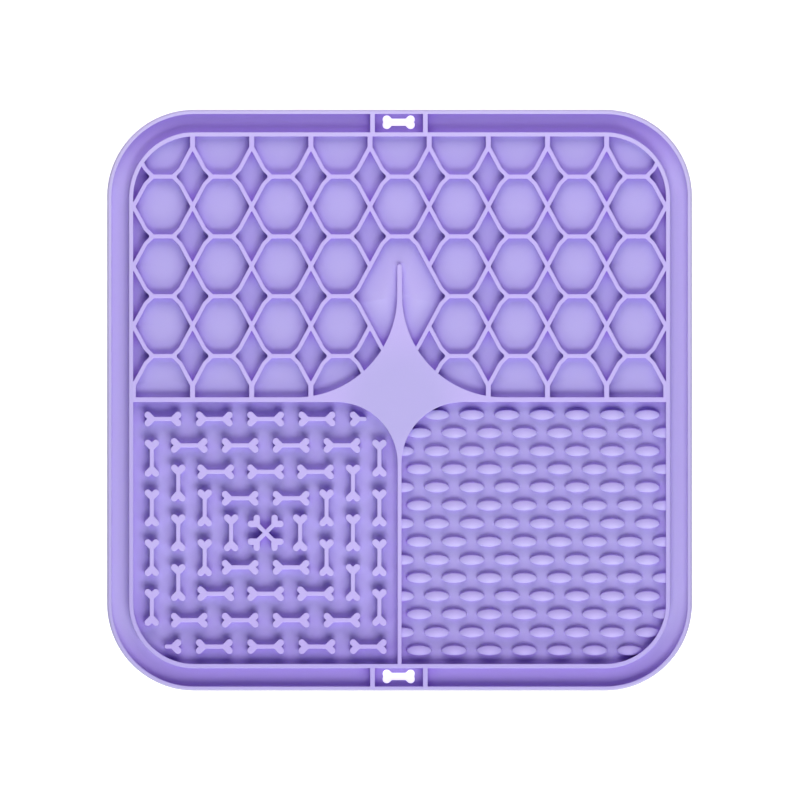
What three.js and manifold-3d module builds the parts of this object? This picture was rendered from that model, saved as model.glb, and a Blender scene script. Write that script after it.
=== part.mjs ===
// A one-piece moulded silicone lick mat, in millimetres, lying flat with +Z up.
// The origin is on the underside, in the middle of the mat.
import * as THREE from 'three';
import { mergeVertices } from 'three/addons/utils/BufferGeometryUtils.js';
import Module from 'manifold-3d';

const wasm = await Module();
wasm.setup();

// Slab and lip
const matWidth = 200;
const matDepth = 198.7;
const matHeight = 6;
const floorHeight = 2;
const matCorner = 29.8;
const lipWidth = 1.5;
const lipChamfer = 0.6;

// Inner wall round the three fields
const wallWidth = 184.9;
const wallDepth = 183.1;
const wallThickness = 1.4;
const wallCorner = 22.2;

// Two short ribs across the gutter at the top edge and two at the bottom edge
const crossRibX = 9.05;
const crossRibThickness = 1.8;

// Horizontal divider across the field, vertical divider from it down, thin ridge from it up
const dividerY = 0.2;
const dividerThickness = 1.6;
const spineThickness = 1.4;
const ridgeThickness = 1.8;
const ridgeEndY = 46.5;

// The four arms of the star are the hollow corners between those bars
const upperStarRadius = 34.7;
const lowerStarRadius = 21.0;
const starSteps = 8;

// Honeycomb: the hexagons of a row meet corner to corner, and those of a column share flat ribs
const columnPitch = 20.22;
const rowPitch = 20.44;
const lowestFlatY = 15.0;
const outerColumn = 4;
const fullRows = 3;
// Quarter of a hexagonal cell, from its middle: side corner, shoulder, end of its flat side
const hexQuarter = [
  { x: 9.25, y: 0 },
  { x: 5.5, y: 7.0 },
  { x: 3.16, y: 9.52 },
];
// Quarter of a diamond cell, from its middle: side tip, waist, upper tip
const diamondQuarter = [
  { x: 5.38, y: 0 },
  { x: 3.0, y: 3.2 },
  { x: 0, y: 8.68 },
];

// Pillow on the floor of a hexagonal cell, with the scale of its flat crown to the cell
const hexPillow = { rise: 1.6, crownScale: 0.42 };
const bigPillow = { rise: 2.8, crownScale: 0.42 };

// Bones: two lobes at each end, on arms that leave the shaft at 45 degrees
const bone = { lobeX: 5.18, lobeY: 1.39, lobeRadius: 1.2, shaftHalf: 0.76 };
const crossedBone = { lobeX: 5.75, lobeY: 1.45, lobeRadius: 1.15, shaftHalf: 0.78 };
const holeBone = { lobeX: 4.3, lobeY: 1.1, lobeRadius: 1.3, shaftHalf: 1.25 };
const holeY = 94.7;
const lobeCorners = 3;

// Lower left field: bones on square rings round a crossed pair
const ringCentre = { x: -46.0, y: -45.2 };
const firstRing = 11.8;
const ringPitch = 9.03;
const ringRows = [
  { lying: 2, lyingPitch: 17.4, standing: 1, standingPitch: 17.0 },
  { lying: 3, lyingPitch: 17.05, standing: 2, standingPitch: 17.0 },
  { lying: 4, lyingPitch: 17.4, standing: 3, standingPitch: 17.0 },
  { lying: 5, lyingPitch: 17.55, standing: 4, standingPitch: 17.0 },
];
// Next to the star and in the round corner the bone is cut to one end and a stub of its shaft
const stubLength = 2.35;

// Lower right field: staggered rows of oval bumps
const bump = { length: 8.6, width: 3.6, height: 2.8, topScale: 0.82, sides: 8 };
const bumpRows = 14;
const bumpsInRow = 8;
const bumpPitch = 12.0;
const bumpRowPitch = 6.195;
const firstBumpY = -4.9;
const evenRowX = 0.7;
const oddRowX = 6.66;

const lilac = 0xb9a8ec;
const silicone = new THREE.MeshStandardMaterial({ color: lilac, roughness: 0.6, metalness: 0 });

const fieldWidth = wallWidth - 2 * wallThickness;
const fieldDepth = wallDepth - 2 * wallThickness;
const fieldCorner = wallCorner - wallThickness;
const dividerTop = dividerY + dividerThickness / 2;
const dividerBottom = dividerY - dividerThickness / 2;
const hexHalfHeight = hexQuarter[hexQuarter.length - 1].y;

// How far a cutter or an added feature runs past the face that it meets
const overrun = 1;
const above = matHeight + overrun;
const below = floorHeight - overrun;
const cornerSteps = 4;

// Points closer together than this are one point
const samePoint = 1e-5;

// A closed geometry as a solid that can be joined and cut
function solidOf(geometry) {
  const bare = geometry.clone();
  bare.deleteAttribute('normal');
  bare.deleteAttribute('uv');
  const merged = mergeVertices(bare, samePoint);
  return new wasm.Manifold(new wasm.Mesh({
    numProp: 3,
    vertProperties: new Float32Array(merged.attributes.position.array),
    triVerts: new Uint32Array(merged.index.array),
  }));
}

// A solid as a geometry again
function geometryOf(solid) {
  const mesh = solid.getMesh();
  const geometry = new THREE.BufferGeometry();
  geometry.setAttribute('position', new THREE.BufferAttribute(mesh.vertProperties, 3));
  geometry.setIndex(new THREE.BufferAttribute(mesh.triVerts, 1));
  geometry.computeVertexNormals();
  return geometry;
}

function joined(solids) {
  return solids.reduce((total, solid) => total.add(solid));
}

function polygon(points) {
  return new THREE.Shape(points.map((point) => new THREE.Vector2(point.x, point.y)));
}

function rectangle(left, right, bottom, top) {
  return polygon([
    { x: left, y: bottom },
    { x: right, y: bottom },
    { x: right, y: top },
    { x: left, y: top },
  ]);
}

function roundedRectangle(width, depth, corner) {
  const x = width / 2 - corner;
  const y = depth / 2 - corner;
  const outline = new THREE.Shape();
  outline.absarc(x, y, corner, 0, 0.5 * Math.PI);
  outline.absarc(-x, y, corner, 0.5 * Math.PI, Math.PI);
  outline.absarc(-x, -y, corner, Math.PI, 1.5 * Math.PI);
  outline.absarc(x, -y, corner, 1.5 * Math.PI, 2 * Math.PI);
  return outline;
}

// A plan outline raised from one height to another
function prism(outline, bottom, top) {
  const geometry = new THREE.ExtrudeGeometry(outline, {
    depth: top - bottom,
    bevelEnabled: false,
    curveSegments: cornerSteps,
  });
  geometry.translate(0, 0, bottom);
  return solidOf(geometry);
}

// A plan outline raised through levels, each with its height and its scale about a middle point
function taperedPrism(points, middle, levels) {
  const steps = levels.length - 1;
  const geometry = new THREE.ExtrudeGeometry(polygon(points), {
    depth: steps,
    steps,
    bevelEnabled: false,
  });
  const position = geometry.attributes.position;
  for (let index = 0; index < position.count; index += 1) {
    const level = levels[Math.round(position.getZ(index))];
    position.setXYZ(
      index,
      middle.x + (position.getX(index) - middle.x) * level.scale,
      middle.y + (position.getY(index) - middle.y) * level.scale,
      level.height,
    );
  }
  return solidOf(geometry);
}

function mirroredX(points) {
  return points.map((point) => ({ x: -point.x, y: point.y })).reverse();
}

function mirroredY(points) {
  return points.map((point) => ({ x: point.x, y: -point.y })).reverse();
}

function shifted(points, x, y) {
  return points.map((point) => ({ x: point.x + x, y: point.y + y }));
}

// Leaves out each point that repeats the one before it
function withoutRepeats(points) {
  return points.filter((point, index) => {
    const before = points[(index + points.length - 1) % points.length];
    return Math.hypot(point.x - before.x, point.y - before.y) > samePoint;
  });
}

// A whole outline from its quarter, which runs from the X axis to the Y axis
function fourQuarters(quarter) {
  const half = [...quarter, ...mirroredX(quarter)];
  return withoutRepeats([...half, ...mirroredY(half)]);
}

function arcPoints(x, y, radius, from, to) {
  return Array.from({ length: starSteps + 1 }, (_, step) => {
    const angle = from + (to - from) * step / starSteps;
    return { x: x + radius * Math.cos(angle), y: y + radius * Math.sin(angle) };
  });
}

// Slab with a chamfer round its top; its lower chamfer is cut off to leave the underside flat
function buildSlab() {
  const outline = roundedRectangle(
    matWidth - 2 * lipChamfer,
    matDepth - 2 * lipChamfer,
    matCorner - lipChamfer,
  );
  const geometry = new THREE.ExtrudeGeometry(outline, {
    depth: matHeight + overrun - 2 * lipChamfer,
    bevelEnabled: true,
    bevelThickness: lipChamfer,
    bevelSize: lipChamfer,
    bevelSegments: 1,
    curveSegments: cornerSteps,
  });
  geometry.translate(0, 0, lipChamfer - overrun);
  const underside = rectangle(-matWidth, matWidth, -matDepth, matDepth);
  return solidOf(geometry).subtract(prism(underside, -2 * overrun, 0));
}

// What is taken out between the lip and the inner wall, with the cross ribs left standing
function buildGutter() {
  const inside = roundedRectangle(
    matWidth - 2 * lipWidth,
    matDepth - 2 * lipWidth,
    matCorner - lipWidth,
  );
  const island = prism(roundedRectangle(wallWidth, wallDepth, wallCorner), below, above + overrun);
  const half = crossRibThickness / 2;
  const crossRibs = [-crossRibX, crossRibX].map((x) => prism(
    rectangle(x - half, x + half, -matDepth, matDepth),
    below,
    above + overrun,
  ));
  return prism(inside, floorHeight, above).subtract(joined([island, ...crossRibs]));
}

// Quarter of a bone, from the notch in its end round one lobe to its shaft. The sides of the arm run
// at 45 degrees and touch the lobe, and the lobe is the polygon that encloses its circle.
function boneQuarter(size) {
  const cornerAngle = Math.PI / lobeCorners;
  const cornerReach = size.lobeRadius / Math.cos(cornerAngle / 2);
  const armX = size.lobeX - size.lobeY;
  const armReach = size.lobeRadius * Math.SQRT2;
  const lobe = Array.from({ length: lobeCorners }, (_, corner) => {
    const angle = cornerAngle * (corner + 0.5) - 0.25 * Math.PI;
    return {
      x: size.lobeX + cornerReach * Math.cos(angle),
      y: size.lobeY + cornerReach * Math.sin(angle),
    };
  });
  return [
    { x: armX + armReach, y: 0 },
    ...lobe,
    { x: armX - armReach + size.shaftHalf, y: size.shaftHalf },
  ];
}

// A bone standing on the floor, turned about its middle
function buildBone(size, x, y, turn, bottom, top) {
  const geometry = new THREE.ExtrudeGeometry(polygon(fourQuarters(boneQuarter(size))), {
    depth: top - bottom,
    bevelEnabled: false,
  });
  geometry.rotateZ(turn);
  geometry.translate(x, y, bottom);
  return solidOf(geometry);
}

// The end of a lying bone that points along side, with a stub of its shaft
function buildStub(x, y, side) {
  const quarter = boneQuarter(bone);
  const shaftEnd = { x: quarter[quarter.length - 1].x - stubLength, y: bone.shaftHalf };
  const upper = [...quarter, shaftEnd];
  const geometry = new THREE.ExtrudeGeometry(polygon(withoutRepeats([...upper, ...mirroredY(upper)])), {
    depth: matHeight - below,
    bevelEnabled: false,
  });
  geometry.rotateZ(side > 0 ? 0 : Math.PI);
  geometry.translate(x, y, below);
  return solidOf(geometry);
}

// Divider, spine, ridge and star, which stand to the top between the fields
function buildPartition() {
  const ridgeHalf = ridgeThickness / 2;
  const spineHalf = spineThickness / 2;
  const rightSide = [
    { x: spineHalf, y: -matDepth },
    ...arcPoints(
      spineHalf + lowerStarRadius,
      dividerBottom - lowerStarRadius,
      lowerStarRadius,
      Math.PI,
      0.5 * Math.PI,
    ),
    { x: matWidth, y: dividerBottom },
    { x: matWidth, y: dividerTop },
    ...arcPoints(
      ridgeHalf + upperStarRadius,
      dividerTop + upperStarRadius,
      upperStarRadius,
      1.5 * Math.PI,
      Math.PI,
    ),
    { x: ridgeHalf, y: ridgeEndY },
  ];
  return prism(polygon([...rightSide, ...mirroredX(rightSide)]), below, above + overrun);
}

// What is taken out of one cell: down its wall to the floor, and up again over the pillow to its crown
function cellCutter(points, middle, pillow) {
  return taperedPrism(points, middle, [
    { height: floorHeight + pillow.rise, scale: pillow.crownScale },
    { height: floorHeight, scale: 1 },
    { height: above, scale: 1 },
  ]);
}

function hexCutter(x, y) {
  return cellCutter(shifted(fourQuarters(hexQuarter), x, y), { x, y }, hexPillow);
}

// Half a hexagon whose sides run straight on past the wall above it, or the divider below it
function partHexCutter(x, y, side, length) {
  const halfWidth = hexQuarter[0].x;
  const reach = length + overrun;
  const downward = [
    ...fourQuarters(hexQuarter).filter((point) => point.y <= 0),
    { x: halfWidth, y: reach },
    { x: -halfWidth, y: reach },
  ];
  const points = side > 0 ? downward : mirroredY(downward);
  const middleY = side * (length - hexHalfHeight) / 2;
  return cellCutter(shifted(points, x, y), { x, y: y + middleY }, hexPillow);
}

function diamondCutter(x, y) {
  return prism(polygon(shifted(fourQuarters(diamondQuarter), x, y)), floorHeight, above);
}

// The cell round the ridge: two hexagons of the middle column and the diamonds at both their sides
function bigCellCutter() {
  const [sideTip, waist] = diamondQuarter;
  const [, shoulder, flatEnd] = hexQuarter;
  const quarter = [
    { x: columnPitch / 2 + sideTip.x, y: 0 },
    { x: columnPitch / 2 + waist.x, y: waist.y },
    { x: shoulder.x, y: rowPitch / 2 + shoulder.y },
    { x: flatEnd.x, y: rowPitch / 2 + flatEnd.y },
  ];
  const y = flatY(1);
  return cellCutter(shifted(fourQuarters(quarter), 0, y), { x: 0, y }, bigPillow);
}

// Height up the field of a row of flat ribs, counted from the lowest
function flatY(row) {
  return lowestFlatY + row * rowPitch;
}

function buildHoneycomb() {
  const topY = flatY(fullRows + 0.5);
  const bottomY = flatY(-0.5);
  const cutters = [bigCellCutter()];
  for (let column = -outerColumn; column <= outerColumn; column += 1) {
    const x = column * columnPitch;
    cutters.push(partHexCutter(x, topY, 1, fieldDepth / 2 - topY));
    if (column !== 0) {
      cutters.push(partHexCutter(x, bottomY, -1, bottomY - dividerTop));
    }
    const firstRow = column === 0 ? fullRows - 1 : 0;
    for (let row = firstRow; row < fullRows; row += 1) {
      cutters.push(hexCutter(x, flatY(row + 0.5)));
    }
  }
  for (let gap = -outerColumn - 0.5; gap <= outerColumn + 0.5; gap += 1) {
    for (let row = 0; row <= fullRows; row += 1) {
      const inBigCell = Math.abs(gap) < 1 && row === 1;
      if (!inBigCell) {
        cutters.push(diamondCutter(gap * columnPitch, flatY(row)));
      }
    }
  }
  return joined(cutters);
}

// Middles of the bones along one side of a ring
function alongRing(count, pitch) {
  return Array.from({ length: count }, (_, index) => (index - (count - 1) / 2) * pitch);
}

function buildBones() {
  const { x, y } = ringCentre;
  const quarterTurn = 0.5 * Math.PI;
  const crossedTurns = [0.5 * quarterTurn, -0.5 * quarterTurn];
  const solids = crossedTurns.map((turn) => buildBone(crossedBone, x, y, turn, below, matHeight));
  ringRows.forEach((row, ring) => {
    const reach = firstRing + ring * ringPitch;
    const outerRing = ring === ringRows.length - 1;
    for (const side of [1, -1]) {
      alongRing(row.lying, row.lyingPitch).forEach((along, index) => {
        const cutShort = outerRing && index === (side > 0 ? row.lying - 1 : 0);
        solids.push(cutShort
          ? buildStub(x + along, y + side * reach, -side)
          : buildBone(bone, x + along, y + side * reach, 0, below, matHeight));
      });
      alongRing(row.standing, row.standingPitch).forEach((along) => {
        solids.push(buildBone(bone, x + side * reach, y + along, quarterTurn, below, matHeight));
      });
    }
  });
  return joined(solids);
}

function buildBump(x, y) {
  const footScale = 1 + (1 - bump.topScale) * overrun / bump.height;
  const height = bump.height + overrun;
  const geometry = new THREE.CylinderGeometry(bump.topScale, footScale, height, bump.sides);
  geometry.rotateX(0.5 * Math.PI);
  geometry.scale(bump.length / 2, bump.width / 2, 1);
  geometry.translate(x, y, below + height / 2);
  return solidOf(geometry);
}

// The bumps at the borders of their field are cut off inside the wall and the spine
function buildBumps() {
  const bumps = [];
  for (let row = 0; row < bumpRows; row += 1) {
    const firstX = row % 2 === 0 ? evenRowX : oddRowX;
    for (let index = 0; index < bumpsInRow; index += 1) {
      bumps.push(buildBump(firstX + index * bumpPitch, firstBumpY - row * bumpRowPitch));
    }
  }
  const middleOfWall = roundedRectangle(
    wallWidth - wallThickness,
    wallDepth - wallThickness,
    wallCorner - wallThickness / 2,
  );
  const rightHalf = rectangle(0, matWidth, -matDepth, matDepth);
  return joined(bumps)
    .intersect(prism(middleOfWall, 0, above))
    .intersect(prism(rightHalf, -overrun, above + overrun));
}

function buildMat() {
  const partition = buildPartition();
  const field = roundedRectangle(fieldWidth, fieldDepth, fieldCorner);
  const lowerHalf = rectangle(-matWidth, matWidth, -matDepth, dividerY);
  const cells = buildHoneycomb().intersect(prism(field, below, above + overrun));
  const trays = prism(field, floorHeight, above)
    .intersect(prism(lowerHalf, below, above + overrun));
  const holes = [holeY, -holeY].map((y) => buildBone(holeBone, 0, y, 0, -overrun, above));
  return buildSlab()
    .subtract(buildGutter())
    .subtract(cells.subtract(partition))
    .subtract(trays.subtract(partition))
    .add(buildBones())
    .add(buildBumps())
    .subtract(joined(holes));
}

const mat = new THREE.Mesh(geometryOf(buildMat()), silicone);
mat.name = 'mat';

const group = new THREE.Group();
group.add(mat);

export default group;
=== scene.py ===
"""A one-piece moulded silicone lick mat, lying flat on a pale floor and seen from straight above."""

import math

import bpy
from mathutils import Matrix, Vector


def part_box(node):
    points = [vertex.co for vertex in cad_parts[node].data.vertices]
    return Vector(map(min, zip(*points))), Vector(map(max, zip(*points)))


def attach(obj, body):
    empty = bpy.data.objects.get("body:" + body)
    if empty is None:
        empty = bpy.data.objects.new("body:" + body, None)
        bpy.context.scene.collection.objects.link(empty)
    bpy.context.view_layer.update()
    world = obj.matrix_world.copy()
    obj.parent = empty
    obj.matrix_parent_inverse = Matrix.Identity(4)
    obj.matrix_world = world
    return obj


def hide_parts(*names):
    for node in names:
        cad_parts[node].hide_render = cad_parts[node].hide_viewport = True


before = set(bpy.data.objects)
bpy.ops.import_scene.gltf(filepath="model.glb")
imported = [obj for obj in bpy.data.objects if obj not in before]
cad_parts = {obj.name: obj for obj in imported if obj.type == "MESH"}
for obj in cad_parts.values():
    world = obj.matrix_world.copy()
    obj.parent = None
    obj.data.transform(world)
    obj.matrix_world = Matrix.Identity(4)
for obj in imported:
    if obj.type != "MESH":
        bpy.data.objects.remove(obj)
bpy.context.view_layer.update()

MM = 0.001

# The mat's own size, from the frame
LOW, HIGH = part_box("mat")
MAT_WIDTH = HIGH.x - LOW.x
MAT_DEPTH = HIGH.y - LOW.y
TOP = HIGH.z

# Slab, lip and inner wall
FLOOR = 2.0 * MM
MAT_CORNER = 29.8 * MM
LIP_WIDTH = 1.5 * MM
LIP_ROUND = 0.75 * MM
BASE_ROUND = 0.4 * MM
WALL_WIDTH = 184.9 * MM
WALL_DEPTH = 183.1 * MM
WALL_THICKNESS = 1.4 * MM
WALL_CORNER = 22.2 * MM
FIELD_WIDTH = WALL_WIDTH - 2 * WALL_THICKNESS
FIELD_DEPTH = WALL_DEPTH - 2 * WALL_THICKNESS
FIELD_CORNER = WALL_CORNER - WALL_THICKNESS

# Roundings of every rim and of the foot of every wall
RIM = 0.14 * MM
RIM_STEPS = 3
FOOT = 0.12 * MM
FOOT_STEPS = 2

# Arcs in the outlines: the widest step, and how far a step may stray from its arc
ARC_STEP = math.radians(15)
ARC_SAG = 0.02 * MM

# How far a piece reaches into the one that it joins, or past the one that it cuts
EMBED = 0.7 * MM
OVERRUN = 1.0 * MM

# What fills a field reaches out into the wall, to these distances from the middle
FILL_X = FIELD_WIDTH / 2 + EMBED
FILL_Y = FIELD_DEPTH / 2 + EMBED
FILL_CORNER = FIELD_CORNER + EMBED

# Ribs across the gutter
CROSS_RIB_X = (-9.25 * MM, 8.8 * MM)
CROSS_RIB_THICKNESS = 1.6 * MM

# Divider, spine, ridge and the star between them; the ridge sinks towards its tip
DIVIDER_Y = 0.2 * MM
DIVIDER_THICKNESS = 1.6 * MM
SPINE_THICKNESS = 1.35 * MM
RIDGE_THICKNESS = 1.7 * MM
RIDGE_END_Y = 46.5 * MM
RIDGE_SINK_Y = 30.0 * MM
RIDGE_SINK = 0.6 * MM
RIDGE_TIP_STEPS = 5
UPPER_STAR_RADIUS = 34.7 * MM
LOWER_STAR_RADIUS = 21.0 * MM
STAR_STEPS = 28
DIVIDER_TOP = DIVIDER_Y + DIVIDER_THICKNESS / 2
DIVIDER_BOTTOM = DIVIDER_Y - DIVIDER_THICKNESS / 2

# Middle of the arc between the divider and the right side of the ridge
UPPER_STAR_X = RIDGE_THICKNESS / 2 + UPPER_STAR_RADIUS
UPPER_STAR_Y = DIVIDER_TOP + UPPER_STAR_RADIUS

# Honeycomb lattice
COLUMN_PITCH = 20.22 * MM
ROW_PITCH = 20.44 * MM
LOWEST_FLAT_Y = 15.12 * MM
OUTER_COLUMN = 4
FULL_ROWS = 3

# Corners of a quarter of each cell, from its middle: x, y and the corner's radius
HEX_SIDE = (9.35 * MM, 0.0, 0.6 * MM)
HEX_SHOULDER = (5.4 * MM, 7.35 * MM, 3.0 * MM)
HEX_FLAT_END = (3.16 * MM, 9.52 * MM, 0.4 * MM)
PART_HEX_SIDE = (9.25 * MM, 0.1 * MM, 0.6 * MM)
DIAMOND_SIDE = (5.7 * MM, 0.0, 0.8 * MM)
DIAMOND_WAIST = (3.6 * MM, 2.15 * MM, 4.0 * MM)
DIAMOND_TIP = (0.0, 8.75 * MM, 0.15 * MM)
HEX_QUARTER = [HEX_SIDE, HEX_SHOULDER, HEX_FLAT_END]
DIAMOND_QUARTER = [DIAMOND_SIDE, DIAMOND_WAIST, DIAMOND_TIP]
HEX_HALF_HEIGHT = HEX_FLAT_END[1]

# Pillows: half width, half depth, lift of the edge and rise of the middle above that
HEX_PILLOW = (9.6 * MM, 9.8 * MM, 0.62 * MM, 0.88 * MM)
BIG_PILLOW = (17.0 * MM, 23.0 * MM, 0.0, 2.7 * MM)
DIAMOND_PILLOW = (5.8 * MM, 8.8 * MM, 0.2 * MM, 0.2 * MM)
PART_PILLOW_RISE = 0.35 * MM

# A part hexagon's pillow: its half width to a whole one's, and its half depth to its cell's depth
PART_PILLOW_WIDTH = 1.1
PART_PILLOW_DEPTH = 0.6

# Each pillow is a little fuller on its lower side; its rings have these scales to its cell
LOW_SIDE_LIFT = 0.35 * MM
PILLOW_SCALES = (0.12, 0.25, 0.38, 0.5, 0.62, 0.74, 0.86, 1.0)

# Beside the partition a pillow settles to a share of its height, and less so where the ridge sinks
SETTLE_REACH = 6.5 * MM
SETTLED_SHARE = 0.5
SETTLE_FADE = 24.0 * MM

# Bones: x and y of the middle of a lobe, its radius and half the thickness of the shaft
BONE = (5.18 * MM, 1.39 * MM, 1.13 * MM, 0.7 * MM)
CROSSED_BONE = (5.75 * MM, 1.45 * MM, 1.1 * MM, 0.72 * MM)
HOLE_BONE = (4.08 * MM, 0.88 * MM, 1.42 * MM, 1.2 * MM)
BONE_RIM = 0.16 * MM
LOBE_STEPS = 8

# Shaft that is left on a bone that is cut to a stub, and the steps of its round end
STUB_LENGTH = 2.35 * MM
STUB_STEPS = 4

# Middles of the bone-shaped holes in the gutter
HOLE_PLACES = ((-0.3 * MM, 95.0 * MM), (-0.3 * MM, -94.4 * MM))

# Field of bones: square rings round a crossed pair, with the fewest lying bones in the first
RING_CENTRE = (-45.8 * MM, -45.28 * MM)
FIRST_RING = 11.8 * MM
RING_PITCH = 9.03 * MM
LYING_PITCHES = (17.4 * MM, 17.05 * MM, 17.4 * MM, 17.55 * MM)
STANDING_PITCH = 17.0 * MM
FIRST_LYING = 2
OUTER_RING = len(LYING_PITCHES) - 1

# Field of oval bumps in staggered rows
BUMP_LENGTH = 8.6 * MM
BUMP_WIDTH = 3.3 * MM
BUMP_HEIGHT = 2.8 * MM
BUMP_FOOT = 0.2 * MM
BUMP_RIM = 0.4 * MM
BUMP_SIDES = 28
BUMP_ROWS = 14
BUMPS_IN_ROW = 8
BUMP_PITCH = 12.0 * MM
BUMP_ROW_PITCH = 6.195 * MM
FIRST_BUMP_Y = -5.0 * MM
EVEN_ROW_X = 0.7 * MM
ODD_ROW_X = 6.66 * MM

# How far a bump's rim lies under its crown, the scale and drop of each ring of the crown, and the
# share of its height that it has lost at its ends
BUMP_RIM_DROP = 0.25 * MM
BUMP_CROWN = ((0.75, 0.12 * MM), (0.45, 0.03 * MM), (0.15, 0.0))
BUMP_TAPER = 0.35

# Smooth shading: edges that turn more sharply than this stay crisp, and large faces count for more
CRISP = math.radians(40)
NORMAL_WEIGHT = 90

# Silicone: the open surface with its faint mottle, and the painted shade's violet in enclosed places
LILAC = (0.525, 0.485, 0.85, 1.0)
LILAC_WARM = (0.54, 0.485, 0.845, 1.0)
PAINTED_SHADE_VIOLET = (0.31, 0.12, 0.66, 1.0)

# Painted shade: how far off a wall still counts, the rays that look for walls, and the shares of
# open view at which a place is all violet and all lilac
PAINTED_SHADE_REACH = 5.5 * MM
PAINTED_SHADE_SAMPLES = 2
PAINTED_SHADE_FULL = 0.0
PAINTED_SHADE_NONE = 0.635

# Painted highlight on the tops of whatever stands up, and painted reflection on the outside of the
# slab
TOP_HIGHLIGHT_LILAC = (0.64, 0.565, 0.955, 1.0)
STAR_HIGHLIGHT_LILAC = (0.57, 0.53, 0.875, 1.0)
LIP_HIGHLIGHT_LILAC = (0.64, 0.58, 0.92, 1.0)
PAINTED_REFLECTION_GREY = (0.55, 0.52, 0.74, 1.0)

# Heights over which the tops' painted highlight sets in, and distances over which the star's dimmer
# one ends
TOPS_BOTTOM = 3.4 * MM
TOPS_START = TOP - RIM
STAR_NEAR = 11.0 * MM
STAR_FAR = 26.0 * MM

# Painted light and shade, as factors: lighter sides and darker, more violet ends of the gutter,
# the darker low end of the fields, and the darker low and the lighter high end of the wall and lip
GUTTER_SIDE_PAINTED_LIGHT = (1.08, 1.1, 1.0, 1.0)
GUTTER_END_PAINTED_SHADE = (0.97, 0.83, 1.0, 1.0)
GUTTER_NEAR_Y = 72.0 * MM
GUTTER_FAR_Y = 94.0 * MM
FIELD_LOW_PAINTED_SHADE = (0.9, 0.84, 0.94, 1.0)
FIELD_LOW_START = -50.0 * MM
FIELD_LOW_END = -100.0 * MM
BORDER_LOW_PAINTED_SHADE = (0.87, 0.86, 0.92, 1.0)
BORDER_HIGH_PAINTED_LIGHT = (1.04, 1.08, 0.99, 1.0)

# Distances out from the rectangle on the middles of the mat's round corners: the outside and the
# inside of the wall, the inside of the lip and the start of its outer rounding
WALL_OUT = (WALL_WIDTH - MAT_WIDTH) / 2 + MAT_CORNER
FIELD_OUT = WALL_OUT - WALL_THICKNESS
LIP_OUT = MAT_CORNER - LIP_WIDTH
SLOPE_OUT = MAT_CORNER - LIP_ROUND
BLEND = 0.2 * MM
SLOPE_BLEND = 0.3 * MM

# Finish of the silicone
ROUGHNESS = 0.5
SPECULAR = 0.35
SHEEN = 0.1
SUBSURFACE = 0.1
SUBSURFACE_REACH = 0.8 * MM
SUBSURFACE_SPREAD = (0.9, 0.6, 1.0)
MOTTLE_SCALE = 260.0
MOTTLE_DETAIL = 3.0
GRAIN_SCALE = 2600.0
GRAIN_DETAIL = 2.0
GRAIN_DEPTH = 0.006 * MM

# Studio floor, world and camera
FLOOR_SIZE = 4.0
FLOOR_DEPTH = 10 * MM
FLOOR_WHITE = (0.85, 0.85, 0.85, 1.0)
FLOOR_ROUGHNESS = 0.9
FLOOR_GLOW = 0.8
PURE_WHITE = (1.0, 1.0, 1.0, 1.0)
WORLD_LIGHT = 0.02
VIEW_WIDTH = 273.4 * MM
VIEW_CENTRE = (0.14 * MM, 0.07 * MM)
CAMERA_HEIGHT = 1.2

# Softboxes: name, place, size, power and colour
WHITE = (1.0, 1.0, 1.1)
LOW_WHITE = (1.0, 1.05, 0.95)
VIOLET_WHITE = (1.0, 0.85, 1.13)
SOFTBOXES = (
    ("key", (0.12, -0.6, 0.85), (0.7, 0.4), 5.4, WHITE),
    ("low_key", (0.1, -0.95, 0.35), (0.7, 0.4), 4.0, LOW_WHITE),
    ("right_key", (0.6, -0.65, 0.5), (0.5, 0.4), 1.2, WHITE),
    ("left_key", (-0.6, -0.65, 0.5), (0.5, 0.4), 1.1, WHITE),
    ("far_fill", (0.0, 0.42, 0.3), (0.5, 0.45), 1.7, VIOLET_WHITE),
)


# Outlines, which run anticlockwise

def rounded(corners):
    """A closed outline from corners of (x, y, radius)."""
    points = []
    count = len(corners)
    for index, (x, y, radius) in enumerate(corners):
        corner = Vector((x, y))
        before = Vector(corners[index - 1][:2]) - corner
        after = Vector(corners[(index + 1) % count][:2]) - corner
        turn = math.pi - before.angle(after)
        if radius == 0 or turn < ARC_STEP / 4:
            points.append(corner)
            continue
        reach = radius * math.tan(turn / 2)
        start = corner + before.normalized() * reach
        end = corner + after.normalized() * reach
        inwards = (before.normalized() + after.normalized()).normalized()
        middle = corner + inwards * (radius / math.cos(turn / 2))
        steps = max(1, math.ceil(turn / min(ARC_STEP, math.sqrt(8 * ARC_SAG / radius))))
        for step in range(steps + 1):
            arm = (start - middle).slerp(end - middle, step / steps)
            points.append(middle + arm.normalized() * radius)
    return points


def four_quarters(quarter):
    """Corners all round from a quarter that runs from the X axis to the Y axis."""
    half = quarter + [(-x, y, radius) for x, y, radius in reversed(quarter) if x > 0]
    return half + [(x, -y, radius) for x, y, radius in reversed(half) if y > 0]


def rounded_rectangle(width, depth, corner):
    x = width / 2
    y = depth / 2
    return rounded([(x, -y, corner), (x, y, corner), (-x, y, corner), (-x, -y, corner)])


def box_outline(left, right, bottom, top):
    return [Vector(point) for point in ((left, bottom), (right, bottom), (right, top), (left, top))]


def arc(x, y, radius, start, end):
    points = []
    for step in range(STAR_STEPS + 1):
        angle = start + (end - start) * step / STAR_STEPS
        points.append(Vector((x + radius * math.cos(angle), y + radius * math.sin(angle))))
    return points


def oval(x, y, length, width):
    points = []
    for step in range(BUMP_SIDES):
        angle = 2 * math.pi * step / BUMP_SIDES
        points.append(Vector((x + length / 2 * math.cos(angle), y + width / 2 * math.sin(angle))))
    return points


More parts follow.
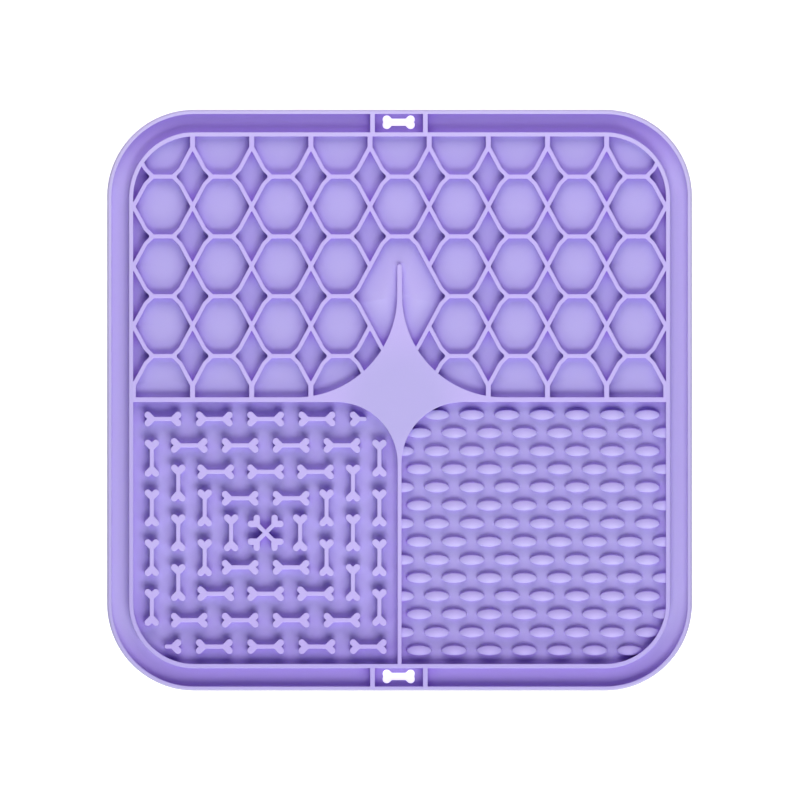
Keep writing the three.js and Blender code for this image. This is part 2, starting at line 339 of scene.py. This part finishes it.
def moved(points, x, y, turn=0.0):
    cosine = math.cos(turn)
    sine = math.sin(turn)
    return [
        Vector((x + point.x * cosine - point.y * sine, y + point.x * sine + point.y * cosine))
        for point in points
    ]


def mirrored_x(points):
    """The points on the other side of the Y axis, in the order that goes on round."""
    return [Vector((-point.x, point.y)) for point in reversed(points)]


def mirrored_y(points):
    """The points on the other side of the X axis, in the order that goes on round."""
    return [Vector((point.x, -point.y)) for point in reversed(points)]


def scaled(points, middle, scale):
    return [middle + (point - middle) * scale for point in points]


def outset(points, distance):
    """The outline moved outwards by a distance, each corner along its mitre."""
    result = []
    for index, point in enumerate(points):
        before = (point - points[index - 1]).normalized()
        after = (points[(index + 1) % len(points)] - point).normalized()
        first = Vector((before.y, -before.x))
        second = Vector((after.y, -after.x))
        result.append(point + (first + second) * (distance / (1 + first.dot(second))))
    return result


# Solids from stacks of rings, and what joins or cuts them

def level(points, height):
    """A ring: the outline at one height."""
    return [Vector((point.x, point.y, height)) for point in points]


def loft(name, stacks):
    """One object with a closed solid for each stack of rings, which are listed upwards."""
    vertices = []
    faces = []
    for rings in stacks:
        count = len(rings[0])
        first = len(vertices)
        last = first + (len(rings) - 1) * count
        for ring in rings:
            vertices.extend(ring)
        for low in range(first, last, count):
            for index in range(count):
                after = (index + 1) % count
                faces.append((low + index, low + after, low + count + after, low + count + index))
        faces.append(tuple(range(first + count - 1, first - 1, -1)))
        faces.append(tuple(range(last, last + count)))
    mesh = bpy.data.meshes.new(name)
    mesh.from_pydata(vertices, [], faces)
    piece = bpy.data.objects.new(name, mesh)
    bpy.context.scene.collection.objects.link(piece)
    return piece


def combine(target, other, operation):
    """Joins, cuts or intersects target with the other piece, which is used up."""
    step = target.modifiers.new("step", "BOOLEAN")
    step.object = other
    step.operation = operation
    step.solver = "MANIFOLD"
    bpy.context.view_layer.objects.active = target
    bpy.ops.object.modifier_apply(modifier=step.name)
    bpy.data.objects.remove(other)
    return target


def quarter_turn(steps):
    return [0.5 * math.pi * step / steps for step in range(steps + 1)]


def standing(points, top=TOP, foot=FOOT, rim=RIM):
    """Rings of a feature that stands on the floor: flared foot, wall and rounded rim."""
    rings = [level(outset(points, foot), FLOOR - OVERRUN)]
    for angle in quarter_turn(FOOT_STEPS):
        reach = foot * (1 - math.sin(angle))
        rings.append(level(outset(points, reach), FLOOR + foot * (1 - math.cos(angle))))
    for angle in quarter_turn(RIM_STEPS):
        reach = rim * (1 - math.cos(angle))
        rings.append(level(outset(points, -reach), top - rim * (1 - math.sin(angle))))
    return rings


def mouth(points, top=TOP):
    """The upper rings of a cutter, which flare to leave a rounded rim."""
    rings = []
    for angle in quarter_turn(RIM_STEPS):
        reach = RIM * (1 - math.cos(angle))
        rings.append(level(outset(points, reach), top - RIM * (1 - math.sin(angle))))
    rings.append(level(outset(points, RIM), top + OVERRUN))
    return rings


def pocket(points):
    """Rings of a cutter that leaves a pocket: coved floor, wall and rounded rim."""
    rings = []
    for angle in quarter_turn(FOOT_STEPS):
        reach = FOOT * (1 - math.sin(angle))
        rings.append(level(outset(points, -reach), FLOOR + FOOT * (1 - math.cos(angle))))
    return rings + mouth(points)


# Slab, gutter and partition

def build_slab():
    outline = rounded_rectangle(MAT_WIDTH, MAT_DEPTH, MAT_CORNER)
    rings = []
    for angle in quarter_turn(RIM_STEPS):
        reach = BASE_ROUND * (1 - math.sin(angle))
        rings.append(level(outset(outline, -reach), BASE_ROUND * (1 - math.cos(angle))))
    for angle in quarter_turn(2 * RIM_STEPS):
        reach = LIP_ROUND * (1 - math.cos(angle))
        rings.append(level(outset(outline, -reach), TOP - LIP_ROUND * (1 - math.sin(angle))))
    return loft("mat_silicone", [rings])


def build_gutter():
    """Cutter between the lip and the inner wall."""
    inside = rounded_rectangle(
        MAT_WIDTH - 2 * LIP_WIDTH, MAT_DEPTH - 2 * LIP_WIDTH, MAT_CORNER - LIP_WIDTH
    )
    wall = rounded_rectangle(WALL_WIDTH, WALL_DEPTH, WALL_CORNER)
    island_rings = standing(wall)
    island_rings.append(level(outset(wall, -RIM), TOP + 2 * OVERRUN))
    gutter = loft("gutter", [pocket(inside)])
    return combine(gutter, loft("island", [island_rings]), "DIFFERENCE")


def build_cross_ribs():
    half = CROSS_RIB_THICKNESS / 2
    near = WALL_DEPTH / 2 - EMBED
    far = MAT_DEPTH / 2 - LIP_WIDTH + EMBED
    stacks = []
    for x in CROSS_RIB_X:
        for bottom, top in ((near, far), (-far, -near)):
            stacks.append(standing(box_outline(x - half, x + half, bottom, top)))
    return loft("cross_ribs", stacks)


def partition_outline():
    """The spine, the lower arc, the divider, the upper arc and the round tip of the ridge."""
    spine = SPINE_THICKNESS / 2
    ridge = RIDGE_THICKNESS / 2
    lower_x = spine + LOWER_STAR_RADIUS
    lower_y = DIVIDER_BOTTOM - LOWER_STAR_RADIUS
    right = [Vector((spine, -FILL_Y))]
    right += arc(lower_x, lower_y, LOWER_STAR_RADIUS, math.pi, 0.5 * math.pi)
    right += [Vector((FILL_X, DIVIDER_BOTTOM)), Vector((FILL_X, DIVIDER_TOP))]
    right += arc(UPPER_STAR_X, UPPER_STAR_Y, UPPER_STAR_RADIUS, 1.5 * math.pi, math.pi)
    for angle in quarter_turn(RIDGE_TIP_STEPS)[1:-1]:
        y = RIDGE_END_Y - ridge + ridge * math.sin(angle)
        right.append(Vector((ridge * math.cos(angle), y)))
    return right + [Vector((0, RIDGE_END_Y))] + mirrored_x(right)


def build_partition():
    """Divider, spine, star and sinking ridge."""
    rings = standing(partition_outline())
    for ring in rings:
        for point in ring:
            if point.y > RIDGE_SINK_Y and point.z > FLOOR:
                along = (point.y - RIDGE_SINK_Y) / (RIDGE_END_Y - RIDGE_SINK_Y)
                point.z -= RIDGE_SINK * along ** 2 * (point.z - FLOOR) / (TOP - FLOOR)
    return loft("partition", [rings])


# Honeycomb with its pillows

def settling(point):
    """The share of its height that a pillow keeps at a point, by the distance from the partition."""
    across = max(0.0, UPPER_STAR_X - abs(point.x))
    down = max(0.0, UPPER_STAR_Y - point.y)
    clear = max(0.0, UPPER_STAR_RADIUS - math.hypot(across, down))
    past_sink = max(0.0, point.y - RIDGE_SINK_Y)
    part = min(1.0, clear / SETTLE_REACH + past_sink / SETTLE_FADE)
    return SETTLED_SHARE + (1 - SETTLED_SHARE) * part * part * (3 - 2 * part)


def pillow_height(point, middle, pillow):
    half_width, half_depth, lift, rise = pillow
    reach = math.hypot((point.x - middle.x) / half_width, (point.y - middle.y) / half_depth)
    low_side = max(0.0, (middle.y - point.y) / half_depth)
    height = lift + LOW_SIDE_LIFT * low_side ** 2 + rise * max(0.0, 1 - reach ** 2)
    return FLOOR + height * settling(point)


def cell(points, middle, pillow):
    """Rings of a cutter that leaves a pillow on the floor of its cell."""
    rings = []
    for scale in PILLOW_SCALES:
        rings.append([
            Vector((point.x, point.y, pillow_height(point, middle, pillow)))
            for point in scaled(points, middle, scale)
        ])
    return rings + mouth(points)


def flat_y(row):
    """Height up the field of a row of flat ribs, counted from the lowest."""
    return LOWEST_FLAT_Y + row * ROW_PITCH


def whole_cell(quarter, x, y, pillow):
    """A cell whose four quarters are alike, from the corners of one of them."""
    return cell(moved(rounded(four_quarters(quarter)), x, y), Vector((x, y)), pillow)


def part_hex_cell(x, y, side, length):
    """Half a hexagon whose sides run straight on past the wall above it, or the divider below it."""
    quarter = [
        (corner_x, -corner_y, radius)
        for corner_x, corner_y, radius in (HEX_FLAT_END, HEX_SHOULDER, PART_HEX_SIDE)
    ]
    right = quarter + [(PART_HEX_SIDE[0], length + EMBED, 0)]
    left = [(-corner_x, corner_y, radius) for corner_x, corner_y, radius in reversed(right)]
    outline = rounded(right + left)
    if side < 0:
        outline = mirrored_y(outline)
    middle = Vector((x, y + side * (length - HEX_HALF_HEIGHT) / 2))
    half_width = PART_PILLOW_WIDTH * HEX_PILLOW[0]
    half_depth = PART_PILLOW_DEPTH * (length + HEX_HALF_HEIGHT)
    pillow = (half_width, half_depth, HEX_PILLOW[2], PART_PILLOW_RISE)
    return cell(moved(outline, x, y), middle, pillow)


def big_cell():
    """The cell round the ridge: two hexagons and the diamonds at both their sides."""
    across = COLUMN_PITCH / 2
    up = ROW_PITCH / 2
    quarter = [
        (across + corner_x, corner_y, radius)
        for corner_x, corner_y, radius in (DIAMOND_SIDE, DIAMOND_WAIST)
    ]
    quarter += [
        (corner_x, up + corner_y, radius)
        for corner_x, corner_y, radius in (HEX_SHOULDER, HEX_FLAT_END)
    ]
    return whole_cell(quarter, 0, flat_y(1), BIG_PILLOW)


def honeycomb_cells():
    top_y = flat_y(FULL_ROWS + 0.5)
    bottom_y = flat_y(-0.5)
    cells = [big_cell()]
    for column in range(-OUTER_COLUMN, OUTER_COLUMN + 1):
        x = column * COLUMN_PITCH
        cells.append(part_hex_cell(x, top_y, 1, FIELD_DEPTH / 2 - top_y))
        if column != 0:
            cells.append(part_hex_cell(x, bottom_y, -1, bottom_y - DIVIDER_TOP))
        for row in range(FULL_ROWS - 1 if column == 0 else 0, FULL_ROWS):
            cells.append(whole_cell(HEX_QUARTER, x, flat_y(row + 0.5), HEX_PILLOW))
    for gap in range(-OUTER_COLUMN, OUTER_COLUMN + 2):
        x = (gap - 0.5) * COLUMN_PITCH
        for row in range(FULL_ROWS + 1):
            if gap not in (0, 1) or row != 1:
                cells.append(whole_cell(DIAMOND_QUARTER, x, flat_y(row), DIAMOND_PILLOW))
    return cells


def build_honeycomb():
    """A block that fills the upper field, with the cells cut out of it."""
    outline = rounded([
        (FILL_X, DIVIDER_Y, 0),
        (FILL_X, FILL_Y, FILL_CORNER),
        (-FILL_X, FILL_Y, FILL_CORNER),
        (-FILL_X, DIVIDER_Y, 0),
    ])
    block = loft("honeycomb", [[level(outline, FLOOR - OVERRUN), level(outline, TOP)]])
    return combine(block, loft("cells", honeycomb_cells()), "DIFFERENCE")


# Bones and holes

def bone_quarter(size):
    """A quarter of a bone along X: one lobe, on an arm that leaves the shaft at 45 degrees."""
    lobe_x, lobe_y, radius, shaft = size
    arm_x = lobe_x - lobe_y
    reach = radius * math.sqrt(2)
    arms_meet = lobe_y > radius * math.sqrt(0.5)
    start = -0.25 * math.pi if arms_meet else -math.asin(lobe_y / radius)
    quarter = [Vector((arm_x + reach, 0))] if arms_meet else []
    for step in range(LOBE_STEPS + 1):
        angle = start + (0.75 * math.pi - start) * step / LOBE_STEPS
        quarter.append(Vector((lobe_x + radius * math.cos(angle), lobe_y + radius * math.sin(angle))))
    quarter.append(Vector((arm_x - reach + shaft, shaft)))
    return quarter


def bone_outline(size):
    quarter = bone_quarter(size)
    half = quarter + mirrored_x(quarter)
    return half + mirrored_y(half[1:-1])


def stub_outline(size):
    """One end of a bone, on a stub of its shaft with a round end."""
    quarter = bone_quarter(size)
    shaft = size[3]
    end = quarter[-1].x - STUB_LENGTH + shaft
    for angle in quarter_turn(STUB_STEPS)[:-1]:
        quarter.append(Vector((end - shaft * math.sin(angle), shaft * math.cos(angle))))
    quarter.append(Vector((end - shaft, 0)))
    return quarter + mirrored_y(quarter[1:-1])


def bone_rings(points):
    return standing(points, rim=BONE_RIM)


def along_ring(count, pitch):
    return [(index - (count - 1) / 2) * pitch for index in range(count)]


def bone_stacks():
    """The rings of bones, where one lying bone at each outer side is cut to a stub."""
    x, y = RING_CENTRE
    outline = bone_outline(BONE)
    stub = stub_outline(BONE)
    stacks = []
    for ring, lying_pitch in enumerate(LYING_PITCHES):
        reach = FIRST_RING + ring * RING_PITCH
        lying = ring + FIRST_LYING
        for side in (1, -1):
            for index, along in enumerate(along_ring(lying, lying_pitch)):
                cut_short = ring == OUTER_RING and index == (lying - 1 if side > 0 else 0)
                shape = stub if cut_short else outline
                turn = math.pi if cut_short and side > 0 else 0.0
                stacks.append(bone_rings(moved(shape, x + along, y + side * reach, turn)))
            for along in along_ring(ring + 1, STANDING_PITCH):
                points = moved(outline, x + side * reach, y + along, 0.5 * math.pi)
                stacks.append(bone_rings(points))
    return stacks


def crossed_bone(turn):
    x, y = RING_CENTRE
    return loft("crossed_bone", [bone_rings(moved(bone_outline(CROSSED_BONE), x, y, turn))])


def build_holes():
    stacks = []
    for x, y in HOLE_PLACES:
        outline = moved(bone_outline(HOLE_BONE), x, y)
        stacks.append([level(outline, -OVERRUN)] + mouth(outline, FLOOR))
    return loft("holes", stacks)


# Bumps

def bump(x, y):
    """Rings of an oval bump with a crown, lower at both its ends."""
    crown = FLOOR + BUMP_HEIGHT
    outline = oval(x, y, BUMP_LENGTH, BUMP_WIDTH)
    rings = standing(outline, top=crown - BUMP_RIM_DROP, foot=BUMP_FOOT, rim=BUMP_RIM)
    top = [point.xy for point in rings[-1]]
    for scale, drop in BUMP_CROWN:
        rings.append(level(scaled(top, Vector((x, y)), scale), crown - drop))
    for ring in rings:
        for point in ring:
            taper = BUMP_TAPER * (2 * (point.x - x) / BUMP_LENGTH) ** 2
            point.z -= taper * max(0.0, point.z - FLOOR)
    return rings


def build_bumps():
    """The rows of bumps, cut off inside the wall and the spine."""
    stacks = []
    for row in range(BUMP_ROWS):
        first_x = EVEN_ROW_X if row % 2 == 0 else ODD_ROW_X
        for index in range(BUMPS_IN_ROW):
            stacks.append(bump(first_x + index * BUMP_PITCH, FIRST_BUMP_Y - row * BUMP_ROW_PITCH))
    outline = rounded([
        (0, -FILL_Y, 0),
        (FILL_X, -FILL_Y, FILL_CORNER),
        (FILL_X, DIVIDER_Y, 0),
        (0, DIVIDER_Y, 0),
    ])
    inside = loft("inside", [[level(outline, 0), level(outline, TOP + OVERRUN)]])
    return combine(loft("bumps", stacks), inside, "INTERSECT")


# The whole mat

def build_mat():
    field = rounded_rectangle(FIELD_WIDTH, FIELD_DEPTH, FIELD_CORNER)
    mat = build_slab()
    combine(mat, build_gutter(), "DIFFERENCE")
    combine(mat, loft("field", [pocket(field)]), "DIFFERENCE")
    combine(mat, build_cross_ribs(), "UNION")
    combine(mat, build_honeycomb(), "UNION")
    combine(mat, build_partition(), "UNION")
    combine(mat, loft("bones", bone_stacks()), "UNION")
    combine(mat, crossed_bone(0.25 * math.pi), "UNION")
    combine(mat, crossed_bone(-0.25 * math.pi), "UNION")
    combine(mat, build_bumps(), "UNION")
    combine(mat, build_holes(), "DIFFERENCE")
    return mat


def finish_surface(piece):
    """Smooth shading that keeps the flat faces flat and the corners between walls crisp."""
    piece.data.shade_smooth()
    piece.data.set_sharp_from_angle(angle=CRISP)
    step = piece.modifiers.new("normals", "WEIGHTED_NORMAL")
    step.mode = "FACE_AREA"
    step.weight = NORMAL_WEIGHT
    step.keep_sharp = True
    bpy.context.view_layer.objects.active = piece
    bpy.ops.object.modifier_apply(modifier=step.name)


# Nodes of the silicone

def ramp(tree, value, start, end):
    """A smooth step from 0 to 1 as the value goes from start to end, up or down."""
    node = tree.nodes.new("ShaderNodeMapRange")
    node.interpolation_type = "SMOOTHSTEP"
    node.inputs["From Min"].default_value = start
    node.inputs["From Max"].default_value = end
    tree.links.new(value, node.inputs["Value"])
    return node.outputs["Result"]


def mix(tree, amount, first, second, blend="MIX"):
    """A blend of two colours, each one given as a value or as a node's output."""
    node = tree.nodes.new("ShaderNodeMixRGB")
    node.blend_type = blend
    tree.links.new(amount, node.inputs["Fac"])
    for name, colour in (("Color1", first), ("Color2", second)):
        if isinstance(colour, tuple):
            node.inputs[name].default_value = colour
        else:
            tree.links.new(colour, node.inputs[name])
    return node.outputs["Color"]


def noise(tree, place, scale, detail):
    node = tree.nodes.new("ShaderNodeTexNoise")
    node.inputs["Scale"].default_value = scale
    node.inputs["Detail"].default_value = detail
    tree.links.new(place, node.inputs["Vector"])
    return node.outputs["Fac"]


def vector_math(tree, operation, first, second=(0.0, 0.0, 0.0)):
    node = tree.nodes.new("ShaderNodeVectorMath")
    node.operation = operation
    tree.links.new(first, node.inputs[0])
    node.inputs[1].default_value = second
    return node.outputs["Value" if operation == "LENGTH" else "Vector"]


def separate(tree, vector):
    node = tree.nodes.new("ShaderNodeSeparateXYZ")
    tree.links.new(vector, node.inputs["Vector"])
    return node.outputs


def product(tree, first, second):
    node = tree.nodes.new("ShaderNodeMath")
    node.operation = "MULTIPLY"
    tree.links.new(first, node.inputs[0])
    tree.links.new(second, node.inputs[1])
    return node.outputs["Value"]


def distance_out(tree, spread):
    """Distance out from the rectangle on the middles of the mat's round corners."""
    straight = (MAT_WIDTH / 2 - MAT_CORNER, MAT_DEPTH / 2 - MAT_CORNER, TOP)
    beyond = vector_math(tree, "SUBTRACT", spread, straight)
    return vector_math(tree, "LENGTH", vector_math(tree, "MAXIMUM", beyond))


def body_colour_with_painted_shade(tree, place):
    """Mottled lilac with painted shade, which turns it violet wherever walls close round the surface.
    """
    colour = mix(tree, noise(tree, place, MOTTLE_SCALE, MOTTLE_DETAIL), LILAC, LILAC_WARM)
    # Painted shade: ambient occlusion mixes in violet where walls are near
    occlusion_for_painted_shade = tree.nodes.new("ShaderNodeAmbientOcclusion")
    occlusion_for_painted_shade.inputs["Distance"].default_value = PAINTED_SHADE_REACH
    occlusion_for_painted_shade.only_local = True
    occlusion_for_painted_shade.samples = PAINTED_SHADE_SAMPLES
    return mix(tree, ramp(tree, occlusion_for_painted_shade.outputs["AO"], PAINTED_SHADE_FULL, PAINTED_SHADE_NONE), PAINTED_SHADE_VIOLET, colour)


def painted_tops_highlight(tree, place, out):
    """Painted highlight on the tops: dimmer and greyer on the star, and with its own colour on the
    lip.
    """
    off_star = ramp(tree, vector_math(tree, "LENGTH", place), STAR_NEAR, STAR_FAR)
    tops = mix(tree, off_star, STAR_HIGHLIGHT_LILAC, TOP_HIGHLIGHT_LILAC)
    return mix(tree, ramp(tree, out, LIP_OUT - BLEND, LIP_OUT), tops, LIP_HIGHLIGHT_LILAC)


def silicone_colour(tree, place):
    """The body's colour with painted shade, then the tops' painted highlight and the outside's
    painted reflection, each with painted light and shade by place.
    """
    spread = vector_math(tree, "ABSOLUTE", place)
    out = distance_out(tree, spread)
    parts = separate(tree, place)

    # Painted light and shade in the gutter: its sides lighter, its ends darker and more violet
    in_gutter = ramp(tree, out, WALL_OUT - BLEND, WALL_OUT)
    at_ends = ramp(tree, separate(tree, spread)["Y"], GUTTER_NEAR_Y, GUTTER_FAR_Y)
    gutter_painted_light_and_shade = mix(tree, at_ends, GUTTER_SIDE_PAINTED_LIGHT, GUTTER_END_PAINTED_SHADE)
    colour = mix(tree, in_gutter, body_colour_with_painted_shade(tree, place), gutter_painted_light_and_shade, "MULTIPLY")

    # Painted highlight: near the top height the colour turns to the tops' paler one
    on_top = ramp(tree, parts["Z"], TOPS_BOTTOM, TOPS_START)
    colour = mix(tree, on_top, colour, painted_tops_highlight(tree, place, out))
    # Painted reflection: the lip's outer rounding turns grey, as if it mirrored the white floor
    on_slope = ramp(tree, out, SLOPE_OUT, SLOPE_OUT + SLOPE_BLEND)
    colour = mix(tree, on_slope, colour, PAINTED_REFLECTION_GREY)

    # Painted shade: the fields grow darker towards their low end
    in_field = ramp(tree, out, FIELD_OUT, FIELD_OUT - BLEND)
    low_down = ramp(tree, parts["Y"], FIELD_LOW_START, FIELD_LOW_END)
    colour = mix(tree, product(tree, in_field, low_down), colour, FIELD_LOW_PAINTED_SHADE, "MULTIPLY")

    # Painted light and shade on the wall and lip: darker at the low end, lighter at the high end.
    # The square of on_top lets it set in late up the sides of the wall and lip
    past_field = ramp(tree, out, FIELD_OUT - BLEND, FIELD_OUT)
    on_border = product(tree, product(tree, on_top, on_top), past_field)
    high_up = ramp(tree, parts["Y"], -MAT_DEPTH / 2, MAT_DEPTH / 2)
    border_painted_light_and_shade = mix(tree, high_up, BORDER_LOW_PAINTED_SHADE, BORDER_HIGH_PAINTED_LIGHT)
    return mix(tree, on_border, colour, border_painted_light_and_shade, "MULTIPLY")


def silicone_material():
    """Soft matt silicone: painted shade in the pockets, a painted highlight on the tops, a fine
    moulded grain.
    """
    material = bpy.data.materials.new("lilac_silicone")
    material.use_nodes = True
    tree = material.node_tree
    shader = tree.nodes["Principled BSDF"]
    shader.inputs["Subsurface Weight"].default_value = SUBSURFACE
    shader.inputs["Subsurface Radius"].default_value = SUBSURFACE_SPREAD
    shader.inputs["Subsurface Scale"].default_value = SUBSURFACE_REACH
    shader.inputs["Roughness"].default_value = ROUGHNESS
    shader.inputs["Specular IOR Level"].default_value = SPECULAR
    shader.inputs["Sheen Weight"].default_value = SHEEN

    place = tree.nodes.new("ShaderNodeTexCoord").outputs["Object"]
    tree.links.new(silicone_colour(tree, place), shader.inputs["Base Color"])

    grain = tree.nodes.new("ShaderNodeBump")
    grain.inputs["Strength"].default_value = 1.0
    grain.inputs["Distance"].default_value = GRAIN_DEPTH
    tree.links.new(noise(tree, place, GRAIN_SCALE, GRAIN_DETAIL), grain.inputs["Height"])
    tree.links.new(grain.outputs["Normal"], shader.inputs["Normal"])
    return material


# Studio

def build_floor():
    """A wide pale floor that glows a little, so that it is white behind the mat and in its holes."""
    outline = box_outline(-FLOOR_SIZE / 2, FLOOR_SIZE / 2, -FLOOR_SIZE / 2, FLOOR_SIZE / 2)
    floor = loft("floor", [[level(outline, -FLOOR_DEPTH), level(outline, 0)]])
    material = bpy.data.materials.new("floor_white")
    material.use_nodes = True
    shader = material.node_tree.nodes["Principled BSDF"]
    shader.inputs["Base Color"].default_value = FLOOR_WHITE
    shader.inputs["Roughness"].default_value = FLOOR_ROUGHNESS
    shader.inputs["Emission Color"].default_value = PURE_WHITE
    shader.inputs["Emission Strength"].default_value = FLOOR_GLOW
    material.cycles.emission_sampling = "NONE"
    floor.data.materials.append(material)


def area_light(name, place, size, power, colour):
    """A softbox that faces the middle of the mat."""
    light = bpy.data.lights.new(name, "AREA")
    light.shape = "RECTANGLE"
    light.size = size[0]
    light.size_y = size[1]
    light.energy = power
    light.color = colour
    lamp = bpy.data.objects.new(name, light)
    lamp.location = place
    lamp.rotation_euler = Vector(place).to_track_quat("Z", "Y").to_euler()
    lamp.visible_camera = False
    bpy.context.scene.collection.objects.link(lamp)


def build_world():
    world = bpy.data.worlds.new("studio")
    world.use_nodes = True
    background = world.node_tree.nodes["Background"]
    background.inputs["Color"].default_value = PURE_WHITE
    background.inputs["Strength"].default_value = WORLD_LIGHT
    bpy.context.scene.world = world


def build_camera():
    """A flat view from straight above, as wide as the photo."""
    lens = bpy.data.cameras.new("camera")
    lens.type = "ORTHO"
    lens.ortho_scale = VIEW_WIDTH
    camera = bpy.data.objects.new("camera", lens)
    camera.location = (VIEW_CENTRE[0], VIEW_CENTRE[1], CAMERA_HEIGHT)
    bpy.context.scene.collection.objects.link(camera)
    bpy.context.scene.camera = camera
    bpy.context.scene.view_settings.view_transform = "Standard"


mat = build_mat()
finish_surface(mat)
mat.data.materials.clear()
mat.data.materials.append(silicone_material())
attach(mat, "root")
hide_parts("mat")

build_floor()
for softbox in SOFTBOXES:
    area_light(*softbox)
build_world()
build_camera()
